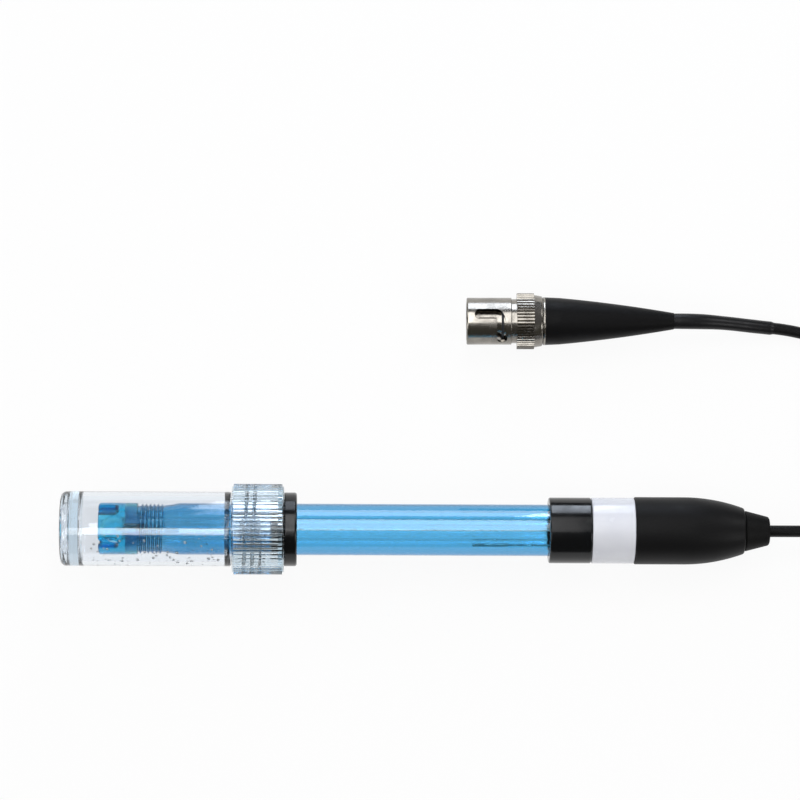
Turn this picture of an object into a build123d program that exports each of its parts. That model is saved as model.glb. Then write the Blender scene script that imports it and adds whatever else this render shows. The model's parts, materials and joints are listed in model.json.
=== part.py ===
"""Combination pH electrode lying at rest: storage bottle on its tip, moulded handle, lead, bayonet plug.

Millimetres, +Z up. The probe lies along X, with its tip and bottle to -X and its lead to +X. The origin
is under the middle of the probe, on the surface that it lies on. Each probe piece is first made about the
X axis, with x measured from the bottle's outer end, and is then laid down by one placement. The plug is
made in the same way, with x measured from the front of its coupling nut. Diameters grow outwards from the
stem and from the plug's outer contact, by named walls and gaps.
"""
from build123d import *
from math import atan2, cos, degrees, pi, radians, sin, tan
import os

# Fits between pieces
glue_gap = 0.05          # radial gap between pieces that are glued or pressed together
running_gap = 0.06       # radial gap of a piece that slides or turns on another
end_gap = 0.05           # gap between flat faces of pieces that move against each other

# Stem: the blue body tube
stem_d = 13.0
stem_wall = 1.35
spigot_step = 0.7        # the threaded front is this much smaller all round, and takes the guard
spigot_wall = 1.2
spigot_bare = 6.8        # stretch of the thread that shows behind the guard
shoulder_len = 3.6
shoulder_round = 2.2
stem_len = 107.4         # shoulder to the white collar
stem_in_cap = 5.2
fill_hole_d = 2.4

# Bulb guard
guard_len = 9.9
guard_mouth_rim = 1.8    # width of the guard's rim at its mouth
guard_slots = 4
guard_slot_width = 2.4
guard_slot_len = 5.2
guard_rim_round = 0.7

# Glass measuring stem with its bulb
reference_room = 1.8     # glass to the bore of the tube's front, where the wick passes
glass_wall = 0.6
bulb_swell = 0.7         # how far the bulb stands out past the glass
bulb_wall = 0.35
bulb_setback = 0.6       # bulb behind the guard's mouth
bulb_seal_gap = 0.6      # bulb's back to the tip seal
glass_top_setback = 6.0  # glass ends this far before the tube's own end

# Wires, wick and seals inside the tube
wire_d = 0.5
silver_tip_len = 9.0     # chloride-coated end of each wire
silver_tip_d = 0.9
reference_wire_reach = 46.0  # reference wire's length from the tube's end towards the tip
wick_d = 1.1
wick_stand_out = 0.4
wire_in_potting = 4.0
tip_seal_len = 5.0
top_seal_len = 3.5

# Storage bottle
bottle_wall = 1.1
bottle_shoulder = 1.2    # how far the bottle stands out past its neck
bottle_shoulder_wall = 1.6
bottle_foot = 2.4        # height of the foot ring round the recessed base
bottle_foot_wall = 2.6
bottle_floor = 2.2
bottle_round = 1.6
bottle_len = 42.9        # foot to the shoulder under the neck
neck_room = 0.75         # stem to the neck's bore
neck_wall = 0.95
neck_len = 10.1
tip_gap = 5.0            # guard's mouth to the bottle's floor

# Screw cap of the bottle
nut_thread_room = 1.15   # neck to the skirt's bore, for the two threads
nut_rib_depth = 0.55
nut_ribs = 60
nut_skirt_wall = 1.5
nut_end_wall = 1.5
nut_start_gap = 0.2      # skirt's rim to the bottle's shoulder
nut_rim = 0.45           # plain band at each end of the ribs

# Rubber grommet that seals the bottle on the stem
seal_wall = 0.94
seal_flange_reach = 1.8  # flange past the grommet's neck
seal_flange_len = 3.2
seal_lip_setback = 0.1   # lip inside the edge of the bottle's mouth
seal_lip_len = 1.6
seal_round = 0.6

# Fill-hole sleeve and white collar
ring_wall = 1.75
sleeve_len = 10.7
collar_len = 10.9
ring_round = 0.4

# Handle cap, strain relief and potting
cap_skirt_wall = 1.95
cap_len = 27.9
cap_straight = 12.6      # cylindrical stretch that a holder grips
cap_end_drop = 2.75      # how far the cap runs in, from its grip to its rear end
cap_end_round = 0.6
cap_wall = 1.8
relief_step = 0.55       # strain relief inside the cap's rear edge
relief_taper = 1.65
relief_len = 6.4
relief_round = 0.8
relief_spigot_step = 1.4 # spigot below the strain relief's base
relief_spigot_len = 5.0
potting_taper_len = 4.0
potting_end_wall = 1.2   # cap's wall where the potting ends
cable_d = 3.0

# Plug: places along x are measured from the front of the coupling nut
plug_x = 13.1            # where the plug's front lies, in the part's frame
plug_y = 54.3
nut_front_wall = 1.1
nut_front_len = 11.5
nut_groove_depth = 0.35
nut_groove_len = 1.3
knurl_height = 1.15      # over the slotted front
knurl_len = 4.4
knurl_teeth = 54
knurl_depth = 0.42
nut_tail_len = 2.2
nut_tail_drop = 0.8      # below the knurl
nut_tail_room = 0.2      # nut's bore behind its lip is this much wider
coupling_lip_len = 2.2
nut_pull = 0.7           # how far the nut can be pulled forward against its spring
bayonet_width = 2.2
bayonet_hole_d = 2.7
bayonet_start_x = 3.1
bayonet_bend_x = 7.2
bayonet_end_setback = 2.5    # middle of the end hole to the rear of the slotted front
bayonet_start_angle = 7.0    # from straight up, towards +Y
bayonet_end_angle = -58.0
lead_in_depth = 0.55

contact_d = 8.1          # outer contact sleeve
socket_room = 0.85       # contact to the nut's bore, for the socket's wall
contact_wall = 0.55
contact_x = 1.9
contact_slots = 4
contact_slot_width = 0.5
contact_slot_len = 4.6
contact_len = 6.7        # mouth of the outer contact to the gasket's seat
flange_len = 1.8
body_neck_step = 0.15    # neck below the contact's outside
rear_disc_setback = 0.2  # rear disc below the nut's tail
rear_disc_len = 0.6
crimp_stem_d = 4.8
crimp_stem_len = 11.0
crimp_stem_bore_d = 2.2
crimp_wall = 0.55
crimp_len = 10.2
gasket_len = 0.6
gasket_step = 0.2        # seat of the gasket over the contact's outside
gasket_seat_gap = 0.3    # seat in front of the gasket
spring_thickness = 0.2
spring_spare = 0.1       # spring travel left when the nut is pulled home
spring_rim = 0.25        # flat rim at each edge of the spring washer
thrust_washer_len = 0.6
insulator_d = 5.2
insulator_x = 7.5
insulator_nose_d = 3.0
insulator_nose_len = 1.6
insulator_front_wall = 1.5   # from the insulator's front to the pin's shoulder
pin_d = 1.35
pin_x = 3.2
pin_shank_d = 2.0
pin_len = 16.4

# Boot and shrink tube behind the plug
boot_len = 32.9
boot_setback = 0.05      # boot below the rear disc
boot_end_d = 4.2
boot_shoulder_len = 3.6
boot_shoulder_drop = 0.15
boot_bulge = 0.3         # how far the long taper stands outside a straight cone
shrink_wall = 0.2
shrink_end_x = 92.0      # where the shrink tube ends, in the part's frame

# Lead: its two straight starts, and the coil of the length that is put away
relief_straight = 8.0
boot_straight = 5.6
coil_x = 126.0
coil_y = 26.5
coil_mid_d = 33.0
coil_bottom_turns = 5
coil_top_turns = 4

# Diameters of the probe, worked out from the stem's
spigot_d = stem_d - 2 * spigot_step
glass_d = spigot_d - 2 * (spigot_wall + reference_room)
bulb_d = glass_d + 2 * bulb_swell
guard_mouth_d = stem_d - 2 * guard_mouth_rim
neck_d = stem_d + 2 * (neck_room + neck_wall)
bottle_d = neck_d + 2 * bottle_shoulder
nut_bore_d = neck_d + 2 * nut_thread_room
nut_root_d = nut_bore_d + 2 * nut_skirt_wall
nut_rib_d = nut_root_d + 2 * nut_rib_depth
seal_neck_d = stem_d + 2 * (running_gap + seal_wall)
seal_lip_d = neck_d - 2 * seal_lip_setback
seal_flange_d = seal_neck_d + 2 * seal_flange_reach
ring_d = stem_d + 2 * (glue_gap + ring_wall)
cap_d = stem_d + 2 * (glue_gap + cap_skirt_wall)
cap_end_d = cap_d - 2 * cap_end_drop
relief_base_d = cap_end_d - 2 * relief_step
relief_end_d = relief_base_d - 2 * relief_taper
relief_spigot_d = relief_base_d - 2 * relief_spigot_step

# Diameters of the plug, worked out from the outer contact's
gasket_seat_d = contact_d + 2 * gasket_step
body_neck_d = contact_d - 2 * body_neck_step
coupling_bore_d = contact_d + 2 * socket_room
nut_front_d = coupling_bore_d + 2 * nut_front_wall
nut_groove_d = nut_front_d - 2 * nut_groove_depth
knurl_d = nut_front_d + 2 * knurl_height
nut_tail_d = knurl_d - 2 * nut_tail_drop
rear_disc_d = nut_tail_d - 2 * rear_disc_setback
boot_start_d = rear_disc_d - 2 * boot_setback
shrink_d = cable_d + 2 * (glue_gap + shrink_wall)

# Places along the probe, worked out from the sizes above
bottle_inner_x = bottle_foot + bottle_floor
guard_x = bottle_inner_x + tip_gap
guard_end_x = guard_x + guard_len
bulb_x = guard_x + bulb_setback + bulb_d / 2
bulb_back_x = bulb_x + ((bulb_d ** 2 - glass_d ** 2) ** 0.5) / 2
spigot_x = bulb_back_x + bulb_seal_gap
shoulder_x = guard_end_x + spigot_bare
collar_x = shoulder_x + stem_len
sleeve_x = collar_x - sleeve_len
cap_x = collar_x + collar_len
tube_end_x = cap_x + stem_in_cap
cap_end_x = cap_x + cap_len
relief_end_x = cap_end_x + relief_len
neck_end_x = bottle_len + neck_len
seal_lip_x = neck_end_x + end_gap
nut_wall_x = seal_lip_x + seal_lip_len + end_gap
nut_end_x = nut_wall_x + nut_end_wall
nut_x = bottle_len + nut_start_gap
seal_flange_x = nut_end_x + end_gap
seal_end_x = seal_flange_x + seal_flange_len
fill_hole_x = sleeve_x + sleeve_len / 2
glass_top_x = tube_end_x - glass_top_setback

# Places off the axis: the reference wire on the side that faces the viewer and down, the wick straight up
reference_away = (glass_d / 2 + stem_d / 2 - stem_wall) / 2
reference_angle = radians(20)
reference_place = (-reference_away * cos(reference_angle), -reference_away * sin(reference_angle))
wick_place = (glass_d / 2 + spigot_d / 2 - spigot_wall) / 2

# How the probe lies: on the end of the nut's ribs and on the end of the cap's straight stretch
nut_rest_x = nut_end_x - nut_rim
cap_rest_x = cap_x + cap_straight
lie_angle = atan2((nut_rib_d - cap_d) / 2, cap_rest_x - nut_rest_x)
axis_height = nut_rest_x * sin(lie_angle) + nut_rib_d / 2 * cos(lie_angle)
foot_reach = (bottle_d / 2 - bottle_round) * sin(lie_angle)
relief_reach = (relief_end_d / 2 - relief_round) * sin(lie_angle)
middle_x = (relief_end_x * cos(lie_angle) + relief_reach - foot_reach) / 2
lay_probe = Pos(-middle_x, 0, axis_height) * Rot(0, degrees(lie_angle), 0)

# How the plug lies: on its knurl, with its axis level
lay_plug = Pos(plug_x, plug_y, knurl_d / 2)
bayonet_end_x = nut_front_len - bayonet_end_setback
nut_knurl_x = nut_front_len + nut_groove_len
coupling_end_x = nut_knurl_x + knurl_len + nut_tail_len
rear_disc_x = coupling_end_x + 2 * end_gap
crimp_stem_x = rear_disc_x + rear_disc_len
boot_x = crimp_stem_x
boot_end_x = boot_x + boot_len
flange_d = coupling_bore_d - 4 * running_gap
coupling_lip_d = body_neck_d + 2 * running_gap
gasket_seat_x = contact_x + contact_len
flange_x = gasket_seat_x + gasket_len + gasket_seat_gap
thrust_washer_x = flange_x + flange_len + nut_pull + 2 * spring_thickness + spring_spare
coupling_lip_x = thrust_washer_x + thrust_washer_len + end_gap
insulator_len = rear_disc_x - insulator_x
pin_shoulder_x = insulator_x + insulator_front_wall


def turned(*corners):
    """Solid turned about X from the corners of its outline, each (x, radius) or (x, radius, rounding)."""
    outline = make_face(Polyline(*[corner[:2] for corner in corners], close=True))
    for corner in corners:
        if len(corner) == 3:
            vertex = outline.vertices().sort_by_distance((corner[0], corner[1], 0))[0]
            outline = fillet(vertex, corner[2])
    return revolve(outline, Axis.X)


def ring(x, length, outer_d, inner_d, rounding=0.0):
    """Plain ring about the X axis, with its two outer edges rounded if asked."""
    outer, inner = outer_d / 2, inner_d / 2
    if rounding:
        return turned((x, inner), (x, outer, rounding), (x + length, outer, rounding), (x + length, inner))
    return turned((x, inner), (x, outer), (x + length, outer), (x + length, inner))


def rod(x, length, diameter, y=0.0, z=0.0):
    """Round bar along X."""
    return Pos(x + length / 2, y, z) * Rot(0, 90, 0) * Cylinder(diameter / 2, length)


def toothed(x, length, crest_d, depth, teeth, crest_share=0.34):
    """Straight-ribbed disc about X: flat-topped ribs with V-shaped valleys, one rib straight down."""
    crest = crest_d / 2
    step = 2 * pi / teeth
    half_crest = step * crest_share / 2
    points = []
    for tooth in range(teeth):
        middle = tooth * step
        points.append((crest * cos(middle - half_crest), crest * sin(middle - half_crest)))
        points.append((crest * cos(middle + half_crest), crest * sin(middle + half_crest)))
        valley = middle + step / 2
        points.append(((crest - depth) * cos(valley), (crest - depth) * sin(valley)))
    section = make_face(Polyline(*points, close=True))
    return Pos(x, 0, 0) * Rot(0, 90, 0) * extrude(section, length)


# Pieces of the probe

def make_stem_tube():
    """Blue tube with its narrower threaded front, a rounded shoulder and the hole under the sleeve."""
    outer = stem_d / 2
    inner = outer - stem_wall
    spigot = spigot_d / 2
    spigot_inner = spigot - spigot_wall
    step_x = shoulder_x + shoulder_len
    tube = turned(
        (spigot_x, spigot_inner), (spigot_x, spigot, 0.3), (shoulder_x, spigot),
        (shoulder_x, spigot + 0.1), (step_x, outer, shoulder_round), (tube_end_x, outer),
        (tube_end_x, inner), (step_x, inner), (shoulder_x, spigot_inner),
    )
    hole = Pos(fill_hole_x, 0, outer) * Cylinder(fill_hole_d / 2, 4 * stem_wall)
    return tube - hole


def make_bulb_guard():
    """Slotted guard round the glass bulb, open at its mouth."""
    mouth = guard_mouth_d / 2
    outer = stem_d / 2
    bore = spigot_d / 2 + glue_gap
    guard = turned(
        (guard_x, mouth), (guard_x, outer, guard_rim_round), (guard_end_x, outer, guard_rim_round / 2),
        (guard_end_x, bore), (spigot_x - end_gap, bore), (spigot_x - end_gap, mouth),
    )
    # Each cutter runs from the axis outwards, with a round end away from the mouth
    flat_len = guard_slot_len - guard_slot_width / 2
    flat = Pos(guard_x + flat_len / 2 - 0.5, 0, outer / 2) * Box(flat_len + 1, guard_slot_width, outer + 1)
    end = Pos(guard_x + flat_len, 0, outer / 2) * Cylinder(guard_slot_width / 2, outer + 1)
    for slot in range(guard_slots):
        turn = Rot(360 / guard_slots * (slot + 0.5), 0, 0)
        guard = guard - turn * (flat + end)
    return guard


def make_glass_stem():
    """Thin glass tube blown out into a bulb at its tip and open at its top."""
    tube_r = glass_d / 2
    bulb_r = bulb_d / 2
    inner_bulb_r = bulb_r - bulb_wall
    length = glass_top_x - bulb_x
    outside = Pos(bulb_x, 0, 0) * Sphere(bulb_r) + rod(bulb_x, length, glass_d)
    inside = Pos(bulb_x, 0, 0) * Sphere(inner_bulb_r) + rod(bulb_x, length + 1, glass_d - 2 * glass_wall)
    return outside - inside


def make_wire(x, length, y=0.0, z=0.0):
    """Silver wire along X with its thicker, chloride-coated end towards the tip."""
    coated = rod(x, silver_tip_len, silver_tip_d, y, z)
    bare = rod(x + silver_tip_len, length - silver_tip_len, wire_d, y, z)
    return coated + bare


def make_measuring_wire():
    """Wire on the axis of the glass stem, from the bulb up into the potting."""
    return make_wire(bulb_x, tube_end_x + wire_in_potting - bulb_x)


def make_reference_wire():
    """Wire beside the glass stem, midway to the tube's wall."""
    start = tube_end_x - reference_wire_reach
    return make_wire(start, tube_end_x + wire_in_potting - start, *reference_place)


def make_junction_wick():
    """Porous pin through the tip seal, which lets the reference solution meet the sample."""
    start = spigot_x - wick_stand_out
    return rod(start, tip_seal_len + 2 * wick_stand_out, wick_d, z=wick_place)


def make_tip_seal():
    """Seal between the glass stem and the tube's front, bored for the wick."""
    seal = ring(
        spigot_x, tip_seal_len, spigot_d - 2 * spigot_wall - 2 * glue_gap, glass_d + 2 * glue_gap
    )
    return seal - rod(spigot_x - 1, tip_seal_len + 2, wick_d + 2 * glue_gap, z=wick_place)


def make_top_seal():
    """Rubber disc that centres the glass stem in the top of the tube, bored for the reference wire."""
    seal_x = glass_top_x - top_seal_len
    seal = ring(seal_x, top_seal_len, stem_d - 2 * stem_wall - 2 * glue_gap, glass_d + 2 * glue_gap)
    return seal - rod(seal_x - 1, top_seal_len + 2, wire_d + 2 * glue_gap, *reference_place)


def make_collar_ring():
    """White collar glued on the tube between the sleeve and the handle cap."""
    return ring(collar_x, collar_len, ring_d, stem_d + 2 * glue_gap, ring_round)


def make_fill_sleeve():
    """Black rubber sleeve over the fill hole. It slides towards the tip to bare the hole."""
    return ring(sleeve_x, sleeve_len - end_gap, ring_d, stem_d + 2 * running_gap, ring_round)


def cap_outline(outer_start, straight, outer_end, length, x):
    """Half outline of the cap's outside: straight, then a tangent arc down to its end face."""
    drop = outer_start - outer_end
    run = length - straight
    radius = (run ** 2 + drop ** 2) / (2 * drop)
    middle = run / 2
    middle_drop = radius - (radius ** 2 - middle ** 2) ** 0.5
    arc = ThreePointArc(
        (x + straight, outer_start),
        (x + straight + middle, outer_start - middle_drop),
        (x + length, outer_end),
    )
    edges = Line((x, 0), (x, outer_start)) + Line((x, outer_start), (x + straight, outer_start)) + arc
    edges += Line((x + length, outer_end), (x + length, 0)) + Line((x + length, 0), (x, 0))
    return make_face(edges)


def make_handle_cap():
    """Moulded black cap: a cylinder that runs out in a long curve to the strain relief."""
    outline = cap_outline(cap_d / 2, cap_straight, cap_end_d / 2, cap_len, cap_x)
    rear_corner = (cap_end_x, cap_end_d / 2, 0)
    front_corner = (cap_x, cap_d / 2, 0)
    for corner, rounding in ((rear_corner, cap_end_round), (front_corner, ring_round)):
        outline = fillet(outline.vertices().sort_by_distance(corner)[0], rounding)
    cap = revolve(outline, Axis.X)
    socket = rod(cap_x - 1, stem_in_cap + 1 + end_gap, stem_d + 2 * glue_gap)
    hollow = turned(*potting_corners(glue_gap))
    gland = rod(cap_end_x - 2 * cap_wall, 4 * cap_wall, relief_spigot_d + 2 * glue_gap)
    return cap - socket - hollow - gland


def potting_corners(grow):
    """Outline of the space behind the tube's end, which the potting fills; grow makes room round it."""
    start_x = tube_end_x + end_gap - grow
    end_x = cap_end_x - cap_wall + grow
    start_r = stem_d / 2 - stem_wall + grow
    taper_x = end_x - potting_taper_len
    end_r = cap_end_d / 2 - potting_end_wall + grow
    return (start_x, 0), (start_x, start_r), (taper_x, start_r), (end_x, end_r), (end_x, 0)


def make_potting_fill():
    """Cast fill in the cap, which holds the two wires where they are joined to the lead."""
    fill = turned(*potting_corners(0))
    passage_len = 1 + wire_in_potting + glue_gap
    for place in ((0, 0), reference_place):
        fill -= rod(tube_end_x - 1, passage_len, wire_d + 2 * glue_gap, *place)
    spigot_start = cap_end_x - relief_spigot_len - glue_gap
    return fill - rod(spigot_start, 2 * relief_spigot_len, relief_spigot_d + 2 * glue_gap)


def make_strain_relief():
    """Rubber strain relief: a tapered nose outside the cap and a spigot inside it."""
    spigot_start = cap_end_x - relief_spigot_len
    spigot = relief_spigot_d / 2
    return turned(
        (spigot_start, 0), (spigot_start, spigot), (cap_end_x + end_gap, spigot),
        (cap_end_x + end_gap, relief_base_d / 2, 0.4), (relief_end_x, relief_end_d / 2, relief_round),
        (relief_end_x, 0),
    )


# Pieces of the storage bottle

def make_storage_bottle():
    """Clear bottle with a recessed base and a narrower neck for the screw cap."""
    outer = bottle_d / 2
    inner = outer - bottle_wall
    neck = neck_d / 2
    neck_inner = neck - neck_wall
    recess = outer - bottle_foot_wall
    return turned(
        (bottle_foot, 0), (bottle_foot, recess, 0.8), (0, recess + 0.6, 0.4), (0, outer, bottle_round),
        (bottle_len, outer, 0.5), (bottle_len, neck), (neck_end_x, neck, 0.3),
        (neck_end_x, neck_inner, 0.2), (bottle_len, neck_inner),
        (bottle_len - bottle_shoulder_wall, inner), (bottle_inner_x, inner, 1.2), (bottle_inner_x, 0),
    )


def make_bottle_nut():
    """Clear ribbed screw cap of the bottle, open in its end for the grommet."""
    root = nut_root_d / 2
    bore = nut_bore_d / 2
    hole = seal_neck_d / 2 + running_gap
    ribs_x = nut_x + nut_rim
    ribs_len = nut_end_x - nut_rim - ribs_x
    skin = turned((nut_x, 0), (nut_x, root, 0.3), (nut_end_x, root, 0.3), (nut_end_x, 0))
    ribs = toothed(ribs_x, ribs_len, nut_rib_d, nut_rib_depth, nut_ribs)
    inside = turned((nut_x - 1, 0), (nut_x - 1, bore), (nut_wall_x, bore), (nut_wall_x, 0))
    return skin + ribs - inside - rod(nut_x, nut_end_x - nut_x + 1, 2 * hole)


def make_bottle_seal():
    """Black rubber grommet: a lip on the bottle's mouth, a neck in the nut's end wall, a flange outside."""
    bore = stem_d / 2 + running_gap
    neck = seal_neck_d / 2
    lip = seal_lip_d / 2
    flange = seal_flange_d / 2
    return turned(
        (seal_lip_x, bore), (seal_lip_x, lip), (seal_lip_x + seal_lip_len, lip),
        (seal_lip_x + seal_lip_len, neck), (seal_flange_x, neck), (seal_flange_x, flange, seal_round / 2),
        (seal_end_x, flange, seal_round), (seal_end_x, bore),
    )


# Pieces of the plug

def bayonet_cutter():
    """Cutter for one bayonet slot: along the nut, round a bend and on to the round hole that locks a stud.

    It is drawn flat, square to the middle of the slot's sweep, and cut straight through the wall there.
    """
    radius = nut_front_d / 2
    middle_angle = (bayonet_start_angle + bayonet_end_angle) / 2
    reach = radius * sin(radians(bayonet_start_angle - middle_angle))
    bend_len = bayonet_end_x - bayonet_bend_x
    start = (bayonet_start_x, reach)
    bend = (bayonet_bend_x, reach)
    end = (bayonet_end_x, -reach)
    straight = Line(start, bend)
    middle = (bayonet_bend_x + 0.9 * bend_len, reach * 0.1)
    curve = Spline(bend, middle, end, tangents=((1, 0), (0.15, -1)))
    flat = trace(straight + curve, bayonet_width)
    flat += Pos(*start) * Circle(bayonet_width / 2)
    flat += Pos(*end) * Circle(bayonet_hole_d / 2)
    # The drawing's +Y turns to point to +Y of the plug, and the cutter rises along +Z before it is turned
    cutter = Pos(0, 0, coupling_bore_d / 4) * extrude(flat, radius)
    return Rot(-middle_angle, 0, 0) * cutter


def make_coupling_nut():
    """Bayonet coupling nut: slotted front, groove, knurled grip and rounded tail, with an inner lip."""
    front = nut_front_d / 2
    groove = nut_groove_d / 2
    grip_root = knurl_d / 2 - knurl_depth
    tail = nut_tail_d / 2
    bore = coupling_bore_d / 2
    knurl_end_x = nut_knurl_x + knurl_len
    lip_end_x = coupling_lip_x + coupling_lip_len
    shell = turned(
        (0, 0), (0, front, 0.35), (nut_front_len, front, 0.2), (nut_front_len, groove),
        (nut_knurl_x, groove), (nut_knurl_x, grip_root), (knurl_end_x, grip_root),
        (coupling_end_x, tail, 0.5), (coupling_end_x, 0),
    )
    grip = toothed(nut_knurl_x, knurl_len, knurl_d, knurl_depth, knurl_teeth)
    inside = turned(
        (-1, 0), (-1, bore), (coupling_lip_x, bore), (coupling_lip_x, coupling_lip_d / 2),
        (lip_end_x, coupling_lip_d / 2), (lip_end_x, bore + nut_tail_room),
        (coupling_end_x + 1, bore + nut_tail_room), (coupling_end_x + 1, 0),
    )
    nut = shell + grip - inside
    lead_in = Box(bayonet_start_x + 1, bayonet_width, 2 * lead_in_depth)
    lead_in = Pos(bayonet_start_x / 2 - 0.5, 0, bore) * lead_in
    slot = bayonet_cutter() + Rot(-bayonet_start_angle, 0, 0) * lead_in
    return nut - slot - Rot(180, 0, 0) * slot


def make_plug_body():
    """Plug body: slotted outer contact, front flange, neck for the nut, rear disc and crimp stem."""
    contact = contact_d / 2
    bore = insulator_d / 2 + glue_gap
    stem = crimp_stem_d / 2
    stem_end_x = crimp_stem_x + crimp_stem_len
    body = turned(
        (contact_x, contact - contact_wall), (contact_x, contact, 0.2), (gasket_seat_x, contact),
        (gasket_seat_x, gasket_seat_d / 2), (flange_x, gasket_seat_d / 2), (flange_x, flange_d / 2),
        (flange_x + flange_len, flange_d / 2), (flange_x + flange_len, body_neck_d / 2),
        (rear_disc_x, body_neck_d / 2), (rear_disc_x, rear_disc_d / 2, 0.15),
        (crimp_stem_x, rear_disc_d / 2, 0.15), (crimp_stem_x, stem), (stem_end_x, stem),
        (stem_end_x, crimp_stem_bore_d / 2), (rear_disc_x, crimp_stem_bore_d / 2), (rear_disc_x, bore),
        (insulator_x, bore), (insulator_x, contact - contact_wall),
    )
    cutter = Pos(contact_x + contact_slot_len / 2 - 0.5, 0, contact) * Box(
        contact_slot_len + 1, contact_slot_width, 4 * contact_wall
    )
    for slot in range(contact_slots):
        body -= Rot(360 / contact_slots * (slot + 0.5), 0, 0) * cutter
    return body


def make_plug_insulator():
    """White insulator that holds the centre pin, with a narrower nose towards the mouth."""
    shank = pin_shank_d / 2 + glue_gap
    slim = pin_d / 2 + glue_gap
    outer = insulator_d / 2
    end_x = insulator_x + insulator_len - end_gap
    nose_x = insulator_x - insulator_nose_len
    return turned(
        (nose_x, slim), (nose_x, insulator_nose_d / 2, 0.2), (insulator_x + end_gap, insulator_nose_d / 2),
        (insulator_x + end_gap, outer), (end_x, outer), (end_x, shank), (pin_shoulder_x, shank),
        (pin_shoulder_x, slim),
    )


def make_centre_pin():
    """Gilt centre pin with a rounded tip and a thicker shank in the insulator."""
    shoulder = pin_shoulder_x + end_gap
    pin = rod(pin_x + pin_d / 2, shoulder - pin_x, pin_d) + Pos(pin_x + pin_d / 2, 0, 0) * Sphere(pin_d / 2)
    return pin + rod(shoulder, pin_x + pin_len - shoulder, pin_shank_d)


def make_plug_gasket():
    """Silicone ring on the front of the flange, which the socket's rim presses on."""
    return ring(flange_x - gasket_len, gasket_len, flange_d, gasket_seat_d + 2 * glue_gap)


def make_spring_washer():
    """Dished spring washer between the flange and the thrust washer."""
    inner = body_neck_d / 2 + running_gap
    outer = flange_d / 2
    front_x = flange_x + flange_len
    back_x = thrust_washer_x
    return turned(
        (front_x, outer - spring_rim), (front_x, outer), (front_x + spring_thickness, outer),
        (back_x, inner + spring_rim), (back_x, inner), (back_x - spring_thickness, inner),
    )


def make_thrust_washer():
    """Flat washer that carries the nut's lip on the spring."""
    return ring(thrust_washer_x, thrust_washer_len, flange_d, body_neck_d + 2 * running_gap)


def make_crimp_ferrule():
    """Crimp ferrule over the cable's screen on the crimp stem."""
    bore = crimp_stem_d + 2 * glue_gap
    return ring(crimp_stem_x + end_gap, crimp_len, bore + 2 * crimp_wall, bore, 0.2)


def make_plug_boot():
    """Long tapered boot moulded round the crimp and the cable."""
    start = boot_start_d / 2
    end = boot_end_d / 2
    taper_x = boot_x + boot_shoulder_len
    taper_start = start - boot_shoulder_drop
    middle = ((taper_x + boot_end_x) / 2, (taper_start + end) / 2 + boot_bulge)
    edges = Line((boot_x, 0), (boot_x, start)) + Line((boot_x, start), (taper_x, taper_start))
    edges += ThreePointArc((taper_x, taper_start), middle, (boot_end_x, end))
    edges += Line((boot_end_x, end), (boot_end_x, 0)) + Line((boot_end_x, 0), (boot_x, 0))
    boot = revolve(make_face(edges), Axis.X)
    socket_d = crimp_stem_d + 2 * crimp_wall + 4 * glue_gap
    return boot - rod(boot_x - 1, 1 + crimp_stem_len + glue_gap, socket_d)


# The lead

def lead_path(points):
    """Straight runs joined by tangent arcs, each as large as its two runs allow; the path and its radii."""
    radii = []
    for before, corner, after in zip(points, points[1:], points[2:]):
        arriving = Vector(*corner) - Vector(*before)
        leaving = Vector(*after) - Vector(*corner)
        half_turn = radians(arriving.get_angle(leaving)) / 2
        radii.append(0.45 * min(arriving.length, leaving.length) / tan(half_turn))
    return FilletPolyline(*points, radius=radii), radii


def swept(path, diameter):
    """Round bar of the given diameter along a path."""
    start = Plane(origin=path @ 0, z_dir=path % 0)
    return sweep(start * Circle(diameter / 2), path=path)


# Route from the strain relief to the coil: straight out, then down to the surface
relief_end = lay_probe * Pos(relief_end_x, 0, 0)
exit_point = relief_end.position
exit_way = Vector(cos(lie_angle), 0, -sin(lie_angle))
first_point = exit_point + exit_way * relief_straight
probe_route = [
    (exit_point.X, exit_point.Y, exit_point.Z),
    (first_point.X, first_point.Y, first_point.Z),
    (106.5, 0.4, 4.9),
    (115.0, 1.5, 2.1),
    (123.5, 3.3, 1.5),
]

# Route from the boot to the coil; the shrink tube covers its first stretch
boot_end_point = plug_x + boot_end_x
plug_route = [
    (boot_end_point, plug_y, knurl_d / 2),
    (boot_end_point + boot_straight, plug_y, knurl_d / 2),
    (79.2, 53.9, 5.4),
    (87.4, 53.3, 2.9),
    (96.4, 52.1, 1.8),
    (105.6, 49.7, 1.6),
    (115.5, 47.5, 2.7),
]


def shrink_route():
    """The plug's route up to the shrink tube's end, which lies on the run after the fourth point."""
    before, after = plug_route[3], plug_route[4]
    share = (shrink_end_x - before[0]) / (after[0] - before[0])
    end = tuple(a + share * (b - a) for a, b in zip(before, after))
    return plug_route[:4] + [end]


def make_shrink_tube(radii):
    """Shrink tube over the lead behind the boot. Its arcs are those of the lead that it covers."""
    path = FilletPolyline(*shrink_route(), radius=radii[:3])
    return swept(path, shrink_d) - swept(path, cable_d + 2 * glue_gap)


def make_lead_coil():
    """Outer shape of the put-away coil: two layers of turns, the upper one narrower by a turn."""
    middle = coil_mid_d / 2
    low_half = coil_bottom_turns * cable_d / 2
    top_half = coil_top_turns * cable_d / 2
    height = cable_d * (1 + 3 ** 0.5 / 2)
    outline = make_face(Polyline(
        (middle - low_half, 0), (middle + low_half, 0), (middle + low_half, cable_d),
        (middle + top_half, height), (middle - top_half, height), (middle - low_half, cable_d), close=True,
    ))
    coil = revolve(Plane.XZ * outline, Axis.Z)
    return Pos(coil_x, coil_y, 0) * coil


probe_path, probe_radii = lead_path(probe_route)
plug_path, plug_radii = lead_path(plug_route)

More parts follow.
